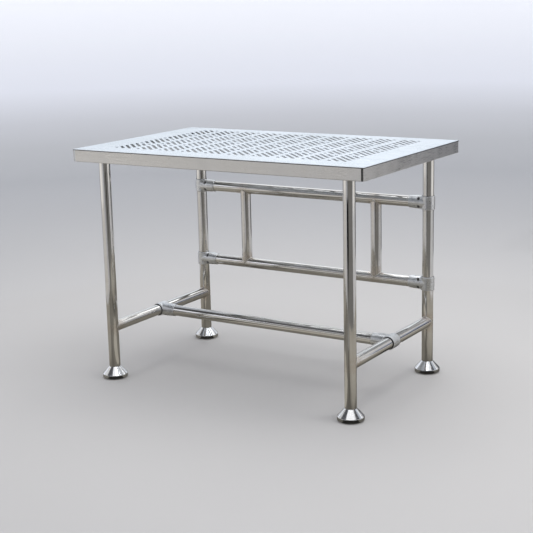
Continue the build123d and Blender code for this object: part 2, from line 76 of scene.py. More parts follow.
# ------------------------------------------------------------------ materials
class Shader:
    """A node material that is built up line by line."""

    def __init__(self, name):
        old = bpy.data.materials.get(name)
        self.mat = old or bpy.data.materials.new(name)
        self.mat.use_nodes = True
        self.tree = self.mat.node_tree
        self.tree.nodes.clear()
        self.out = self.node("ShaderNodeOutputMaterial")
        self.bsdf = self.node("ShaderNodeBsdfPrincipled")
        self.link(self.bsdf.outputs[0], self.out.inputs["Surface"])
        self.coord = self.node("ShaderNodeTexCoord").outputs["Object"]

    def node(self, kind, **props):
        n = self.tree.nodes.new(kind)
        for k, v in props.items():
            setattr(n, k, v)
        return n

    def link(self, a, b):
        self.tree.links.new(a, b)

    def set(self, **values):
        for k, v in values.items():
            self.bsdf.inputs[k.replace("_", " ")].default_value = v

    def scaled(self, scale, turn=(0, 0, 0)):
        m = self.node("ShaderNodeMapping")
        m.inputs["Scale"].default_value = scale
        m.inputs["Rotation"].default_value = turn
        self.link(self.coord, m.inputs["Vector"])
        return m.outputs[0]

    def noise(self, scale, vector=None, detail=3.0, rough=0.55, distortion=0.0):
        n = self.node("ShaderNodeTexNoise")
        n.inputs["Scale"].default_value = scale
        n.inputs["Detail"].default_value = detail
        n.inputs["Roughness"].default_value = rough
        n.inputs["Distortion"].default_value = distortion
        self.link(vector if vector is not None else self.coord, n.inputs["Vector"])
        return n.outputs["Fac"]

    def voronoi(self, scale, vector=None, feature="DISTANCE_TO_EDGE"):
        n = self.node("ShaderNodeTexVoronoi", feature=feature)
        n.inputs["Scale"].default_value = scale
        self.link(vector if vector is not None else self.coord, n.inputs["Vector"])
        return n.outputs["Distance"]

    def spread(self, value, lo, hi, a=0.3, b=0.7):
        n = self.node("ShaderNodeMapRange")
        n.inputs["From Min"].default_value = a
        n.inputs["From Max"].default_value = b
        n.inputs["To Min"].default_value = lo
        n.inputs["To Max"].default_value = hi
        self.link(value, n.inputs["Value"])
        return n.outputs["Result"]

    def math(self, op, a, b, clamp=False):
        n = self.node("ShaderNodeMath", operation=op, use_clamp=clamp)
        for i, v in enumerate((a, b)):
            if isinstance(v, (int, float)):
                n.inputs[i].default_value = v
            else:
                self.link(v, n.inputs[i])
        return n.outputs[0]

    def ramp(self, value, stops, interpolation="LINEAR"):
        n = self.node("ShaderNodeValToRGB")
        n.color_ramp.interpolation = interpolation
        el = n.color_ramp.elements
        while len(el) > 1:
            el.remove(el[-1])
        el[0].position = stops[0][0]
        el[0].color = (*stops[0][1], 1.0)
        for pos, col in stops[1:]:
            e = el.new(pos)
            e.color = (*col, 1.0)
        self.link(value, n.inputs["Fac"])
        return n.outputs["Color"]

    def mix(self, fac, a, b, blend="MIX"):
        n = self.node("ShaderNodeMix", data_type="RGBA", blend_type=blend)
        for sock, v in ((n.inputs[0], fac), (n.inputs[6], a), (n.inputs[7], b)):
            if isinstance(v, (int, float)):
                sock.default_value = v
            elif isinstance(v, tuple):
                sock.default_value = (*v, 1.0)
            else:
                self.link(v, sock)
        return n.outputs[2]

    def bump(self, height, strength, distance, normal=None):
        n = self.node("ShaderNodeBump")
        n.inputs["Strength"].default_value = strength
        n.inputs["Distance"].default_value = distance
        self.link(height, n.inputs["Height"])
        if normal is not None:
            self.link(normal, n.inputs["Normal"])
        return n.outputs["Normal"]

    def axis(self, name):
        sep = self.node("ShaderNodeSeparateXYZ")
        self.link(self.coord, sep.inputs[0])
        return sep.outputs[name]

    def near(self, points, r0, r1):
        """1 close to any of the points, mirrored to all four quarters, 0 beyond r1."""
        flat = self.node("ShaderNodeVectorMath", operation="ABSOLUTE")
        self.link(self.coord, flat.inputs[0])
        best = None
        for at in points:
            n = self.node("ShaderNodeVectorMath", operation="DISTANCE")
            self.link(flat.outputs[0], n.inputs[0])
            n.inputs[1].default_value = at
            best = n.outputs["Value"] if best is None else self.math("MINIMUM", best, n.outputs["Value"])
        return self.spread(best, 1.0, 0.0, r0, r1)

    def colour(self, sock):
        self.link(sock, self.bsdf.inputs["Base Color"])

    def rough(self, sock):
        self.link(sock, self.bsdf.inputs["Roughness"])

    def normal(self, sock):
        self.link(sock, self.bsdf.inputs["Normal"])


def worktop_material():
    s = Shader("worktop_satin")
    s.set(Metallic=1.0)
    cloud = s.noise(2.2, detail=4)
    smear = s.noise(1.0, s.scaled((9, 34, 9), (0, 0, 0.2)), detail=5)
    grain = s.noise(1.0, s.scaled((26, 1500, 26)), detail=2)
    s.colour(
        s.mix(
            s.spread(smear, 0.0, 0.35),
            s.ramp(
                cloud,
                [
                    (0.25, (0.675, 0.715, 0.775)),
                    (0.6, (0.735, 0.77, 0.83)),
                    (0.85, (0.695, 0.735, 0.80)),
                ],
            ),
            (0.635, 0.675, 0.74),
        )
    )
    r = s.math("ADD", s.spread(cloud, 0.24, 0.33), s.spread(grain, -0.04, 0.05))
    s.rough(s.math("ADD", r, s.spread(smear, -0.02, 0.05)))
    s.normal(s.bump(grain, 0.06, 0.0004, s.bump(cloud, 0.15, 0.004)))
    return s.mat


def folded_material():
    s = Shader("folded_satin")
    s.set(Metallic=1.0)
    cloud = s.noise(5.0, detail=4)
    grain = s.noise(1.0, s.scaled((22, 22, 1300)), detail=2)
    dent = s.noise(3.0, detail=1)
    outer = s.ramp(
        cloud,
        [
            (0.3, (0.62, 0.605, 0.59)),
            (0.6, (0.67, 0.66, 0.65)),
            (0.8, (0.60, 0.59, 0.575)),
        ],
    )
    # behind the webs: painted light, the inner faces coloured pale blue-grey so that the slots look bright instead of
    # shaded; also duller than the brushed faces
    ax = s.math("ABSOLUTE", s.axis("X"), 0.0)
    ay = s.math("ABSOLUTE", s.axis("Y"), 0.0)
    painted_pale_inside = s.math(
        "MULTIPLY",
        s.spread(ax, 1.0, 0.0, 0.6012, 0.6022),
        s.spread(ay, 1.0, 0.0, 0.3747, 0.3757),
    )
    s.colour(s.mix(painted_pale_inside, outer, (0.80, 0.84, 0.89)))
    brushed = s.math("ADD", s.spread(cloud, 0.26, 0.36), s.spread(grain, -0.05, 0.06))
    s.rough(s.math("ADD", brushed, s.math("MULTIPLY", painted_pale_inside, 0.16)))
    s.normal(s.bump(grain, 0.08, 0.0004, s.bump(dent, 0.3, 0.006)))
    return s.mat


def tube_material(axis):
    s = Shader("polished_" + axis)
    s.set(Metallic=1.0)
    long = {
        "x": (5, 420, 420),
        "y": (420, 5, 420),
        "z": (420, 420, 5),
    }[axis]
    across = {
        "x": (900, 60, 60),
        "y": (60, 900, 60),
        "z": (60, 60, 900),
    }[axis]
    draw = s.noise(1.0, s.scaled(long), detail=2)
    turn = s.noise(1.0, s.scaled(across), detail=2)
    haze = s.noise(9.0, detail=4)
    wave = s.noise(3.5, detail=1)
    metal = s.ramp(
        haze,
        [
            (0.3, (0.60, 0.585, 0.56)),
            (0.55, (0.66, 0.65, 0.635)),
            (0.8, (0.62, 0.60, 0.575)),
        ],
    )
    # brushed and faintly heat tinted beside the welds
    weld = s.near(
        [(0.296, 0.309, 0.643), (0.296, 0.309, 0.361), (0.513, 0.296, 0.199)],
        0.026,
        0.046,
    )
    patch = s.math("MULTIPLY", weld, s.spread(s.noise(70.0, detail=4), 0.35, 1.0))
    s.colour(s.mix(s.math("MULTIPLY", patch, 0.55), metal, (0.52, 0.44, 0.37)))
    shine = s.math("ADD", s.spread(haze, 0.045, 0.095), s.spread(turn, 0.0, 0.035))
    s.rough(s.math("ADD", shine, s.math("MULTIPLY", patch, 0.16)))
    s.normal(s.bump(draw, 0.035, 0.0003, s.bump(wave, 0.2, 0.002)))
    return s.mat


def chrome_material():
    s = Shader("bright_chrome")
    s.set(Metallic=1.0)
    ring = s.noise(1.0, s.scaled((3, 3, 1100)), detail=2)
    haze = s.noise(30.0, detail=4)
    s.colour(
        s.ramp(
            haze,
            [(0.3, (0.70, 0.705, 0.715)), (0.6, (0.78, 0.785, 0.80)), (0.8, (0.73, 0.735, 0.75))],
        )
    )
    s.rough(s.math("ADD", s.spread(haze, 0.10, 0.16), s.spread(ring, 0.0, 0.05)))
    s.normal(s.bump(ring, 0.05, 0.0003))
    return s.mat


def turned_material():
    s = Shader("turned_steel")
    s.set(Metallic=1.0)
    ring = s.noise(1.0, s.scaled((6, 6, 1600)), detail=2)
    haze = s.noise(60.0, detail=4)
    s.colour(
        s.ramp(
            haze,
            [(0.3, (0.50, 0.49, 0.47)), (0.6, (0.60, 0.59, 0.57)), (0.8, (0.54, 0.53, 0.51))],
        )
    )
    s.rough(s.math("ADD", s.spread(haze, 0.22, 0.34), s.spread(ring, 0.0, 0.08)))
    s.normal(s.bump(ring, 0.15, 0.0003))
    return s.mat


def cast_material():
    s = Shader("cast_alloy")
    s.set(Metallic=1.0)
    grain = s.noise(900.0, detail=3)
    skin = s.noise(140.0, detail=4)
    cloud = s.noise(35.0, detail=4)
    s.colour(
        s.mix(
            s.spread(grain, 0.0, 0.4),
            s.ramp(
                cloud,
                [(0.3, (0.58, 0.59, 0.605)), (0.6, (0.71, 0.72, 0.735)), (0.8, (0.63, 0.64, 0.655))],
            ),
            (0.54, 0.55, 0.56),
        )
    )
    s.rough(s.math("ADD", s.spread(cloud, 0.22, 0.34), s.spread(grain, -0.04, 0.10)))
    s.normal(s.bump(grain, 0.35, 0.0003, s.bump(skin, 0.35, 0.0012)))
    return s.mat


def screw_material():
    s = Shader("screw_steel")
    s.set(Metallic=1.0)
    haze = s.noise(300.0, detail=4)
    s.colour(
        s.ramp(haze, [(0.3, (0.10, 0.10, 0.105)), (0.6, (0.17, 0.17, 0.175)), (0.85, (0.24, 0.235, 0.23))])
    )
    s.rough(s.spread(haze, 0.28, 0.46))
    s.normal(s.bump(haze, 0.1, 0.0002))
    return s.mat


def rubber_material():
    s = Shader("foot_rubber")
    s.set(Metallic=0.0)
    grain = s.noise(1400.0, detail=2)
    dust = s.noise(45.0, detail=5)
    s.colour(
        s.ramp(
            dust,
            [(0.35, (0.018, 0.018, 0.019)), (0.6, (0.030, 0.030, 0.031)), (0.8, (0.060, 0.058, 0.055))],
        )
    )
    s.rough(s.spread(dust, 0.55, 0.80))
    s.normal(s.bump(grain, 0.25, 0.0002))
    return s.mat


def weld_material():
    s = Shader("weld_seam")
    s.set(Metallic=1.0)
    heat = s.noise(120.0, detail=4)
    s.colour(
        s.ramp(
            heat,
            [(0.3, (0.42, 0.39, 0.35)), (0.55, (0.58, 0.56, 0.53)), (0.8, (0.50, 0.49, 0.47))],
        )
    )
    s.rough(s.spread(heat, 0.25, 0.42))
    s.normal(s.bump(heat, 0.2, 0.0004))
    return s.mat


def shadow_gap_material():
    s = Shader("painted_shadow_gap")
    s.set(Metallic=0.0)
    blot = s.noise(160.0, detail=4)
    # near black: painted shadow, used in the gaps under the rim, in the corners and in the clamp mouths
    s.colour(
        s.ramp(blot, [(0.3, (0.003, 0.003, 0.003)), (0.6, (0.006, 0.006, 0.006)), (0.85, (0.012, 0.011, 0.011))])
    )
    s.rough(s.spread(blot, 0.6, 0.82))
    s.set(Specular_IOR_Level=0.22)
    s.normal(s.bump(blot, 0.2, 0.0003))
    return s.mat


MAT = {
    "shadow_gap": shadow_gap_material(),
    "worktop": worktop_material(),
    "folded": folded_material(),
    "tube_x": tube_material("x"),
    "tube_y": tube_material("y"),
    "tube_z": tube_material("z"),
    "chrome": chrome_material(),
    "turned": turned_material(),
    "cast": cast_material(),
    "screw": screw_material(),
    "rubber": rubber_material(),
    "weld": weld_material(),
}


def finish_for(name):
    if name == "top_panel":
        return "worktop"
    if name.startswith(("apron", "stiffener", "leg_socket")):
        return "folded"
    if name.startswith(("leg_plug", "foot_stud")):
        return "turned"
    if name == "leg_grub_screws" or name == "clamp_bolts":
        return "screw"
    if name.startswith("foot_bell"):
        return "chrome"
    if name.startswith("foot_pad"):
        return "rubber"
    if name.startswith("clamp"):
        return "cast"
    if name.startswith(("rear_rail", "centre")):
        return "tube_x"
    if name.startswith("side_stretcher"):
        return "tube_y"
    return "tube_z"


for name, ob in nodes.items():
    mat = MAT[finish_for(name)]
    for slot in ob.material_slots:
        slot.material = mat


# ------------------------------------------------------------------ pieces
def mesh_object(name, verts, faces, mat, smooth=False):
    me = bpy.data.meshes.new(name)
    me.from_pydata([tuple(v) for v in verts], [], faces)
    me.update()
    if smooth:
        me.polygons.foreach_set("use_smooth", [True] * len(me.polygons))
    me.materials.append(mat)
    ob = bpy.data.objects.new(name, me)
    bpy.context.scene.collection.objects.link(ob)
    return ob


def outward(ob):
    """Faces of a closed mesh look outwards."""
    bm = bmesh.new()
    bm.from_mesh(ob.data)
    bmesh.ops.recalc_face_normals(bm, faces=bm.faces[:])
    bm.to_mesh(ob.data)
    bm.free()
    return ob


def sharpen(ob, degrees):
    """Edges steeper than this stay crisp, the rest is smooth."""
    ob.data.set_sharp_from_angle(angle=math.radians(degrees))
    return ob


MM = 0.001
LEG_X, LEG_Y = 513.0, 309.0
TUBE_R = 21.2
CORNERS = {"fl": (-1, -1), "fr": (1, -1), "rl": (-1, 1), "rr": (1, 1)}


def rings_mesh(name, rings, mat):
    """Closed skin over a stack of rings with equal counts, capped at both ends."""
    seg = len(rings[0])
    verts = [v for ring in rings for v in ring]
    faces = []
    for i in range(len(rings) - 1):
        for k in range(seg):
            a, b = i * seg + k, i * seg + (k + 1) % seg
            faces.append((a, b, b + seg, a + seg))
    faces.append(tuple(reversed(range(seg))))
    faces.append(tuple((len(rings) - 1) * seg + k for k in range(seg)))
    return outward(mesh_object(name, verts, faces, mat, smooth=True))


def threaded_stud(corner):
    """M16 stud with a 2 mm pitch, rising from a round flange."""
    cx, cy = (CORNERS[corner][0] * LEG_X, CORNERS[corner][1] * LEG_Y)
    seg, per_pitch, pitch = 36, 8, 2.0
    rings = []

    def ring(radius_of, z):
        pts = []
        for k in range(seg):
            a = 2 * math.pi * k / seg
            r = radius_of(a)
            pts.append(((cx + r * math.cos(a)) * MM, (cy + r * math.sin(a)) * MM, z * MM))
        rings.append(pts)

    for r, z in ((11.6, 5.0), (12.3, 5.25), (12.6, 5.8), (12.6, 7.2), (12.3, 7.75), (11.6, 8.0), (8.3, 8.0), (7.0, 8.4), (6.9, 10.4)):
        ring(lambda a, r=r: r, z)
    top, start = 90.0, 11.0
    steps = int((top - start) / pitch * per_pitch)
    for i in range(steps + 1):
        z = start + (top - start) * i / steps
        lead_in = min(1.0, (z - start) / 1.6)
        lead_out = min(1.0, (top - z) / 1.4)

        def radius_of(a, z=z, lead_in=lead_in, lead_out=lead_out):
            ph = (z / pitch - a / (2 * math.pi)) % 1.0
            tri = 1.0 - abs(2.0 * ph - 1.0)
            crest = min(1.0, max(0.0, (tri - 0.10) / 0.78))
            full = 6.82 + 1.13 * crest
            return 6.82 + (full - 6.82) * lead_in * (0.25 + 0.75 * lead_out)

        ring(radius_of, z)
    ob = sharpen(rings_mesh("threaded_stud_" + corner, rings, MAT["turned"]), 50)
    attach(ob, "foot_" + corner)
    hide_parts("foot_stud_" + corner)


def moulded_pad(corner):
    """Rubber pad with a rounded edge and a tread of rings underneath."""
    cx, cy = (CORNERS[corner][0] * LEG_X, CORNERS[corner][1] * LEG_Y)
    prof = [(3.0, 0.7), (6.0, 0.7), (6.6, 0.0)]
    for r in (11.6, 17.2, 22.8, 28.4, 34.0):
        prof += [(r, 0.0), (r + 0.5, 0.75), (r + 1.5, 0.75), (r + 2.0, 0.0)]
    prof += [(38.8, 0.0), (39.5, 0.25), (39.95, 0.75), (40.1, 1.4), (40.1, 3.7), (39.9, 4.4), (39.4, 4.85), (38.8, 5.0), (20.0, 5.0)]
    seg = 72
    rings = []
    for r, z in prof:
        rings.append(
            [
                ((cx + r * math.cos(2 * math.pi * k / seg)) * MM, (cy + r * math.sin(2 * math.pi * k / seg)) * MM, z * MM)
                for k in range(seg)
            ]
        )
    ob = sharpen(rings_mesh("moulded_pad_" + corner, rings, MAT["rubber"]), 35)
    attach(ob, "foot_" + corner)
    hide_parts("foot_pad_" + corner)


def weld_bead(name, centre, along, across, up, size=1.5, ripples=46):
    """Bead round the joint of two equal tubes, with the ripples of each pass.

    along is the direction of the coped tube away from the joint, up the
    direction of the tube that it meets.
    """
    n_len, n_round = ripples * 6, 10
    verts, faces = [], []
    c, f, a, u = Vector(centre), Vector(along), Vector(across), Vector(up)
    r = TUBE_R

    def spine(t):
        depth = math.sqrt((r * math.sin(t)) ** 2 + 26.0)
        return c + f * depth + a * (r * math.cos(t)) + u * (r * math.sin(t))

    def outward_of(t):
        # halfway between the two tube skins
        n1 = a * math.cos(t) + u * math.sin(t)
        n2 = (f * abs(math.sin(t)) + a * math.cos(t)).normalized()
        return (n1 + n2).normalized()

    for i in range(n_len):
        t = 2 * math.pi * i / n_len
        p = spine(t)
        tangent = (spine(t + 0.02) - spine(t - 0.02)).normalized()
        n = outward_of(t)
        side = tangent.cross(n).normalized()
        n = side.cross(tangent).normalized()
        tip = max(0.0, 1.0 - abs(math.sin(t)) * 2.2) ** 1.5
        wob = 1.0 + 0.05 * math.sin(7 * t + 0.8) + 0.08 * math.cos(ripples * t)
        high = size * wob * (0.60 - 0.12 * tip)
        wide = size * wob * (1.25 + 2.1 * tip)
        for k in range(n_round):
            b = 2 * math.pi * k / n_round
            verts.append((p + n * (high * math.cos(b)) + side * (wide * math.sin(b))) * MM)
    for i in range(n_len):
        j = (i + 1) % n_len
        for k in range(n_round):
            m = (k + 1) % n_round
            faces.append((i * n_round + k, i * n_round + m, j * n_round + m, j * n_round + k))
    ob = outward(mesh_object(name, verts, faces, MAT["weld"], smooth=True))
    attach(ob, "frame")


def prism(name, section, start, end, xdir, ydir, mat, body):
    """Straight strip: a closed section (x, y) swept from start to end, in mm."""
    s0, s1, xd, yd = Vector(start), Vector(end), Vector(xdir), Vector(ydir)
    n = len(section)
    verts = [(s0 + xd * x + yd * y) * MM for x, y in section]
    verts += [(s1 + xd * x + yd * y) * MM for x, y in section]
    faces = [tuple(range(n)), tuple(reversed(range(n, 2 * n)))]
    faces += [(k, k + n, (k + 1) % n + n, (k + 1) % n) for k in range(n)]
    ob = sharpen(outward(mesh_object(name, verts, faces, mat, smooth=True)), 30)
    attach(ob, body)
    return ob


def make_shadow_gaps():
    """Painted shade under the rim of the sheet and in the four open corners: near-black strips fill the shadow gaps,
    except a pale steel filler at the front left, which is painted light.
    """
    half_x, half_y, under, low = 604.0, 377.5, 882.5, 838.0
    section = [(0.25, -0.02), (3.5, -0.02), (2.3, -0.66), (1.6, -1.35), (1.18, -2.5), (0.95, -1.5), (0.6, -0.7)]
    sides = {
        "front": ((-half_x + 0.8, -half_y, under), (half_x - 0.8, -half_y, under), (0, 1, 0)),
        "back": ((-half_x + 0.8, half_y, under), (half_x - 0.8, half_y, under), (0, -1, 0)),
        "left": ((-half_x, -half_y + 0.8, under), (-half_x, half_y - 0.8, under), (1, 0, 0)),
        "right": ((half_x, -half_y + 0.8, under), (half_x, half_y - 0.8, under), (-1, 0, 0)),
    }
    for side, (start, end, inward) in sides.items():
        prism("rim_shadow_gap_" + side, section, start, end, inward, (0, 0, 1), MAT["shadow_gap"], "frame")
    gap0, gap1, face = half_x - 1.2 - 9.5 + 0.06, half_x - 1.2 - 3.0 - 0.06, half_y - 1.2
    mid, quarter = (gap0 + gap1) / 2, (gap1 - gap0) / 4
    for corner, (sx, sy) in CORNERS.items():
        sec = [(gap0, 4.6), (gap1, 4.6), (gap1, 0.9), (mid + quarter, 1.25), (mid, 1.35), (mid - quarter, 1.25), (gap0, 0.9)]
        # three corners get painted shadow, the front left a pale filler as painted light
        mat, slot = (MAT["folded"], "folded_sheet") if corner == "fl" else (MAT["shadow_gap"], "foot_rubber")
        prism("corner_gap_fill_" + corner, sec, (0.0, sy * face, low + 0.5), (0.0, sy * face, under - 0.05), (sx, 0, 0), (0, -sy, 0), mat, "frame")


def make_mouth_shadow_gaps():
    """Painted shadow: near-black rings in the flared mouths of the six clamp sleeves, where the gap round the tube is
    in shade.
    """
    prof = [(21.24, 23.6), (21.24, 25.3), (21.8, 25.75), (22.6, 25.95), (23.28, 25.88), (21.88, 24.15), (21.46, 23.6)]
    seg, n = 96, len(prof)
    ex, ey, ez = Vector((1, 0, 0)), Vector((0, 1, 0)), Vector((0, 0, 1))
    places = []
    for side, sx in (("left", -1), ("right", 1)):
        places.append(("low_" + side, Vector((sx * LEG_X, 0.0, 199.0)), ez, ex, ey))
        places.append(("rear_lower_" + side, Vector((sx * LEG_X, LEG_Y, 348.0)), ex, ey, ez))
        places.append(("rear_upper_" + side, Vector((sx * LEG_X, LEG_Y, 656.0)), ex, ey, ez))
    for name, centre, u, v, w in places:
        for end, sign in (("a", -1), ("b", 1)):
            verts, faces = [], []
            for k in range(seg):
                ang = 2 * math.pi * k / seg
                radial = u * math.cos(ang) + v * math.sin(ang)
                verts += [(centre + radial * r + w * (sign * z)) * MM for r, z in prof]
            for k in range(seg):
                q = (k + 1) % seg
                for j in range(n):
                    i = (j + 1) % n
                    faces.append((k * n + j, k * n + i, q * n + i, q * n + j))
            ob = sharpen(outward(mesh_object("mouth_joint_%s_%s" % (name, end), verts, faces, MAT["shadow_gap"], smooth=True)), 35)
            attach(ob, "frame")


def cast_clamp(node):
    """The clamp half with the soft edges of a casting, in place of the sharp one."""
    src = nodes[node]
    me = bpy.data.meshes.new_from_object(src)
    me.name = "cast_" + node
    bm = bmesh.new()
    bm.from_mesh(me)
    bmesh.ops.remove_doubles(bm, verts=bm.verts[:], dist=1e-6)
    bm.to_mesh(me)
    bm.free()
    ob = bpy.data.objects.new("cast_" + node, me)
    ob.matrix_world = src.matrix_world.copy()
    bpy.context.scene.collection.objects.link(ob)
    skin = ob.modifiers.new("skin", "REMESH")
    skin.mode = "VOXEL"
    skin.voxel_size = 0.00105
    soft = ob.modifiers.new("soft", "SMOOTH")
    soft.factor = 0.5
    soft.iterations = 4
    dg = bpy.context.evaluated_depsgraph_get()
    done = bpy.data.meshes.new_from_object(ob.evaluated_get(dg))
    ob.modifiers.clear()
    ob.data = done
    done.name = "cast_" + node
    done.polygons.foreach_set("use_smooth", [True] * len(done.polygons))
    done.materials.clear()
    done.materials.append(MAT["cast"])
    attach(ob, "frame")
    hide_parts(node)
    return ob


for corner in CORNERS:
    threaded_stud(corner)
    moulded_pad(corner)
for side, sx in (("left", -1), ("right", 1)):
    weld_bead("weld_side_%s_front" % side, (sx * LEG_X, -LEG_Y, 199.0), (0, 1, 0), (1, 0, 0), (0, 0, 1))
    weld_bead("weld_side_%s_rear" % side, (sx * LEG_X, LEG_Y, 199.0), (0, -1, 0), (1, 0, 0), (0, 0, 1))
    weld_bead("weld_post_%s_low" % side, (sx * 296.0, LEG_Y, 348.0), (0, 0, 1), (0, 1, 0), (1, 0, 0))
    weld_bead("weld_post_%s_high" % side, (sx * 296.0, LEG_Y, 656.0), (0, 0, -1), (0, 1, 0), (1, 0, 0))
make_shadow_gaps()
make_mouth_shadow_gaps()
for node in sorted(nodes):
    if node.startswith("clamp_") and node != "clamp_bolts":
        cast_clamp(node)


# ------------------------------------------------------------------ stage
def stage_floor_material():
    s = Shader("studio_floor")
    s.set(Metallic=0.0)
    s.bsdf.inputs["Specular IOR Level"].default_value = 0.15
    fine = s.noise(60.0, detail=4)
    broad = s.noise(0.9, detail=3)
    tone = s.ramp(
        s.math("ADD", s.spread(fine, -0.03, 0.03), s.spread(broad, 0.42, 0.58)),
        [(0.0, (0.505, 0.485, 0.465)), (1.0, (0.565, 0.545, 0.525))],
    )
    # towards the walls the tone turns cooler and lighter
    sep = s.node("ShaderNodeSeparateXYZ")
    s.link(s.coord, sep.inputs[0])
    x2 = s.math("MULTIPLY", sep.outputs["X"], sep.outputs["X"])
    y2 = s.math("MULTIPLY", sep.outputs["Y"], sep.outputs["Y"])
    radius = s.math("SQRT", s.math("ADD", x2, y2), 0.0)
    out = s.spread(radius, 0.0, 1.0, 1.6, 5.3)
    s.colour(s.mix(out, tone, (0.535, 0.532, 0.53)))
    s.rough(s.spread(fine, 0.7, 0.85))
    # painted light: floor and wall glow by emission, none at the floor and rising to brightest at the top of the wall
    rise = s.spread(sep.outputs["Z"], 0.0, 1.0, 0.0, 3.2)
    glow = s.ramp(
        rise,
        [
            (0.0, (0.0, 0.0, 0.0)),
            (0.06, (0.055, 0.057, 0.062)),
            (0.12, (0.150, 0.155, 0.178)),
            (0.2, (0.34, 0.355, 0.415)),
            (0.5, (0.60, 0.615, 0.67)),
            (1.0, (0.90, 0.925, 1.02)),
        ],
    )
    s.link(glow, s.bsdf.inputs["Emission Color"])
    s.set(Emission_Strength=1.0)
    # seen from below the floor is clear, so that the underside can be looked at
    clear = s.node("ShaderNodeBsdfTransparent")
    both = s.node("ShaderNodeMixShader")
    back = s.node("ShaderNodeNewGeometry").outputs["Backfacing"]
    s.link(back, both.inputs[0])
    s.link(s.bsdf.outputs[0], both.inputs[1])
    s.link(clear.outputs[0], both.inputs[2])
    s.link(both.outputs[0], s.out.inputs["Surface"])
    return s.mat


def make_stage():
    # floor that turns up into a wall all round, one surface of revolution
    flat_r, cove_r, wall_z = 5.3, 0.9, 3.6
    prof = [(0.0, 0.0), (0.8, 0.0), (2.0, 0.0), (3.6, 0.0)]
    for i in range(13):
        a = math.pi / 2 * i / 12
        prof.append((flat_r + cove_r * math.sin(a), cove_r * (1 - math.cos(a))))
    prof += [(flat_r + cove_r, 2.0), (flat_r + cove_r, wall_z)]
    seg = 96
    verts, faces = [(0.0, 0.0, 0.0)], []
    rings = prof[1:]
    for r, z in rings:
        for k in range(seg):
            a = 2 * math.pi * k / seg
            verts.append((r * math.cos(a), r * math.sin(a), z))
    for k in range(seg):
        faces.append((0, 1 + k, 1 + (k + 1) % seg))
    for i in range(len(rings) - 1):
        for k in range(seg):
            a = 1 + i * seg + k
            b = 1 + i * seg + (k + 1) % seg
            faces.append((a, a + seg, b + seg, b))
    ob = mesh_object("studio_floor", verts, faces, stage_floor_material(), smooth=True)
    return ob


def card_material(name, colour, strength, ramp=None, bands=None):
    s = Shader(name)
    s.tree.nodes.remove(s.bsdf)
    em = s.node("ShaderNodeEmission")
    em.inputs["Color"].default_value = (*colour, 1.0)
    em.inputs["Strength"].default_value = strength
    if ramp is not None:
        z0, s0, z1, s1 = ramp
        s.link(s.spread(s.axis("Z"), s0, s1, z0, z1), em.inputs["Strength"])
    if bands is not None:
        lo, hi, stops = bands
        across = s.spread(s.axis("X"), 0.0, 1.0, lo, hi)
        wobble = s.spread(s.noise(2.6, detail=2), -0.02, 0.02)
        s.link(s.ramp(s.math("ADD", across, wobble), stops), em.inputs["Color"])
    s.link(em.outputs[0], s.out.inputs["Surface"])
    return s.mat


def card(name, verts, colour, strength=1.0, ramp=None, bands=None):
    """A card that only the polished metal sees."""
    ob = mesh_object(name, verts, [tuple(range(len(verts)))], card_material(name, colour, strength, ramp, bands))
    ob.visible_camera = False
    ob.visible_diffuse = False
    ob.visible_shadow = False
    ob.visible_transmission = False
    return ob


def upright_card(name, a, b, z0, z1, colour, strength=1.0, ramp=None):
    return card(name, [(a[0], a[1], z0), (b[0], b[1], z0), (b[0], b[1], z1), (a[0], a[1], z1)], colour, strength, ramp)


def ring_card(name, centre, radius, z, colour, strength=1.0, bands=None):
    seg = 64
    verts = [
        (centre[0] + radius * math.cos(2 * math.pi * k / seg), centre[1] + radius * math.sin(2 * math.pi * k / seg), z)
        for k in range(seg)
    ]
    return card(name, verts, colour, strength, None, bands)


def sector_card(name, r0, r1, a0, a1, z, colour, strength=1.0):
    """Flat sector over the floor, from azimuth a0 to a1 in degrees."""
    steps = 12
    outer = [math.radians(a0 + (a1 - a0) * k / steps) for k in range(steps + 1)]
    verts = [(r1 * math.cos(a), r1 * math.sin(a), z) for a in outer]
    verts += [(r0 * math.cos(a), r0 * math.sin(a), z) for a in reversed(outer)]
    return card(name, verts, colour, strength)


def arc_points(centre, radius, a0, a1):
    return (
        (centre[0] + radius * math.cos(math.radians(a0)), centre[1] + radius * math.sin(math.radians(a0))),
        (centre[0] + radius * math.cos(math.radians(a1)), centre[1] + radius * math.sin(math.radians(a1))),
    )


def area_light(name, at, towards, size_x, size_y, power, colour=(1, 1, 1)):
    li = bpy.data.lights.new(name, "AREA")
    li.shape = "RECTANGLE"
    li.size = size_x
    li.size_y = size_y
    li.energy = power
    li.color = colour
    ob = bpy.data.objects.new(name, li)
    bpy.context.scene.collection.objects.link(ob)
    ob.location = at
    ob.rotation_mode = "QUATERNION"
    ob.rotation_quaternion = (Vector(towards) - Vector(at)).to_track_quat("-Z", "Y")
    ob.visible_camera = False
    return ob


def make_world():
    w = bpy.data.worlds.new("studio_world")
    bpy.context.scene.world = w
    w.use_nodes = True
    bg = w.node_tree.nodes.get("Background")
    bg.inputs["Color"].default_value = (0.86, 0.91, 1.0, 1.0)
    bg.inputs["Strength"].default_value = 0.62


make_stage()
make_world()
area_light("overhead_soft", (0.2, 0.3, 3.4), (0.0, 0.0, 0.4), 3.4, 2.6, 78.0, (0.97, 0.985, 1.0))
side = area_light("right_soft", (4.6, 0.6, 2.2), (0.2, 0.0, 0.5), 2.4, 2.0, 40.0, (1.0, 0.985, 0.96))
side.visible_glossy = False

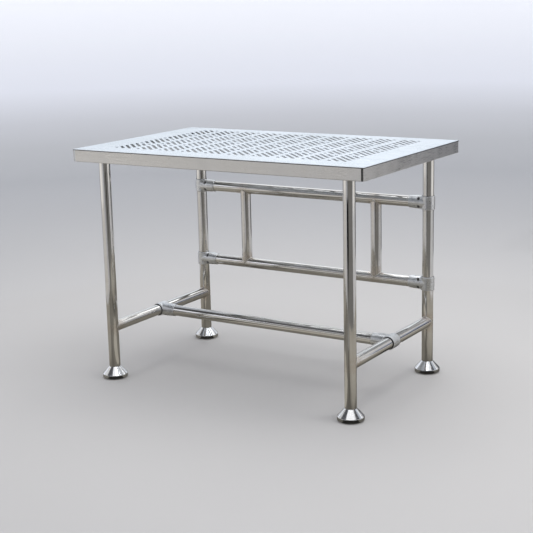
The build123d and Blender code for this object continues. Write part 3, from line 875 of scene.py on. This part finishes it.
# camera side of the room is dim
DIM = (0.215, 0.210, 0.202)
p, q = arc_points((0.0, 0.0), 5.0, -84.0, -5.0)
upright_card("flag_camera_side", p, q, 0.0, 1.5, DIM)
sector_card("flag_camera_floor", 1.75, 4.9, -84.0, -5.0, 0.0012, DIM)
p, q = arc_points((0.51, -0.31), 0.9, -104.5, -74.5)
upright_card("flag_dark", p, q, 0.0, 0.62, (1.0, 0.97, 0.93), 1.0, (0.05, 0.32, 0.42, 0.0))
# floor under and round the table: darker in front of the legs, paler to both
# sides, so that the lower legs carry streaks as the upper ones do
WARM = (1.0, 0.945, 0.83)


def warm(v):
    return tuple(v * c for c in WARM)


ring_card(
    "card_floor",
    (0.0, 0.0),
    1.75,
    0.0015,
    (1.0, 1.0, 1.0),
    1.0,
    (
        -1.75,
        1.75,
        [
            (0.0, warm(0.40)),
            (0.28, warm(0.36)),
            (0.325, warm(0.22)),
            (0.36, warm(0.165)),
            (0.40, warm(0.24)),
            (0.50, warm(0.235)),
            (0.60, warm(0.23)),
            (0.635, warm(0.14)),
            (0.675, warm(0.145)),
            (0.71, warm(0.36)),
            (0.80, warm(0.46)),
            (1.0, warm(0.40)),
        ],
    ),
)
card("card_floor_middle", [(-0.20, -0.72, 0.0018), (0.30, -0.72, 0.0018), (0.40, -0.16, 0.0018), (-0.36, -0.16, 0.0018)], warm(0.50))
# painted shadow: near-black fans on the floor in front of each foot, standing in for the feet's contact shadows in the
# reflections
for corner, (sx, sy) in CORNERS.items():
    fx, fy = sx * LEG_X * MM, sy * LEG_Y * MM
    aim = math.atan2(-3.8051 - fy, 2.3959 - fx)
    fan = [math.radians(-46 + 92 * k / 10) + aim for k in range(11)]
    card(
        "card_foot_shadow_" + corner,
        [(fx + 0.0475 * math.cos(a), fy + 0.0475 * math.sin(a), 0.0022) for a in fan]
        + [(fx + 0.13 * math.cos(a), fy + 0.13 * math.sin(a), 0.0022) for a in reversed(fan)],
        (0.020, 0.019, 0.017),
    )
# bright low walls and floor to the left and to the right of the camera
for tag, a0, a1, strong in (("a", -172.0, -126.0, 1.04), ("b", -126.0, -104.0, 0.80)):
    p, q = arc_points((0.0, 0.0), 4.7, a0, a1)
    upright_card("glow_left_" + tag, p, q, 0.0, 0.55, (1.0, 0.985, 0.96), strong)
    upright_card("dim_left_" + tag, p, q, 0.55, 1.5 if tag == "a" else 2.6, (0.33, 0.328, 0.325))
sector_card("glow_left_floor", 1.9, 4.6, -172.0, -106.0, 0.0012, (1.0, 0.975, 0.94), 0.66)
p, q = arc_points((0.0, 0.0), 4.7, -190.0, -138.0)
upright_card("glow_left_high", p, q, 1.55, 3.45, (1.0, 1.0, 1.0), 0.80)
p, q = arc_points((0.0, 0.0), 4.7, 2.0, 51.5)
upright_card("glow_right", p, q, 0.0, 2.2, (1.0, 0.985, 0.96), 0.97)
p, q = arc_points((0.0, 0.0), 4.65, 49.0, 62.0)
upright_card("dim_right_rear", p, q, 1.12, 2.4, (0.72, 0.71, 0.70))
p, q = arc_points((0.0, 0.0), 4.65, 63.0, 86.0)
upright_card("glow_right_rear", p, q, 1.12, 2.6, (1.0, 1.0, 1.0), 0.42)
for tag, a0, a1, z0, z1, strong in (("a", 51.7, 59.5, 0.0, 0.42, 1.0), ("b", 51.7, 59.5, 0.42, 1.1, 8.0), ("c", 59.5, 94.0, 0.0, 1.1, 1.0)):
    p, q = arc_points((0.0, 0.0), 4.7, a0, a1)
    upright_card("flag_right_rear_" + tag, p, q, z0, z1, (0.050, 0.055, 0.070), strong)
sector_card("flag_right_rear_floor", 2.5, 4.6, 51.0, 92.0, 0.0012, (0.16, 0.16, 0.165))
# bright upper wall behind the table, which the satin top mirrors
p, q = arc_points((0.0, 0.0), 5.0, 88.0, 168.0)
upright_card("glow_rear", p, q, 1.0, 2.6, (0.90, 0.96, 1.0), 1.0, (1.0, 0.66, 2.3, 1.36))
for tag, a0, a1, z0, z1, strong in (("a", 48.0, 66.0, 2.5, 3.5, 1.4), ("b", 66.0, 90.0, 2.5, 3.5, 0.36), ("c", 66.0, 100.0, 3.5, 4.9, 2.0)):
    p, q = arc_points((0.0, 0.0), 5.1, a0, a1)
    upright_card("glow_right_rear_high_" + tag, p, q, z0, z1, (0.96, 0.98, 1.0), strong)
card("sky_rear", [(-2.8, 1.75, 3.45), (2.8, 1.75, 3.45), (2.8, 3.7, 3.45), (-2.8, 3.7, 3.45)], (0.97, 0.985, 1.0), 1.6)
# dark ceiling on the camera side, with one bright panel over the camera
sector_card("ceiling_a", 2.3, 5.4, -176.0, -90.0, 3.5, (0.09, 0.09, 0.094))
sector_card("ceiling_b", 2.3, 5.4, -90.0, 26.0, 3.5, (0.09, 0.09, 0.094))
card(
    "panel_over_camera",
    [
        (-0.6, -2.6, 3.35),
        (0.4, -2.75, 3.35),
        (1.5, -2.4, 3.35),
        (2.3, -1.7, 3.35),
        (2.72, -0.8, 3.35),
        (2.75, 0.25, 3.35),
        (2.45, 0.25, 3.35),
        (2.25, -0.3, 3.35),
        (2.0, -0.7, 3.35),
        (1.6, -0.95, 3.35),
        (1.0, -1.1, 3.35),
        (0.9, -1.5, 3.35),
        (-0.6, -1.65, 3.35),
    ],
    (1.0, 1.0, 1.0),
    1.25,
)
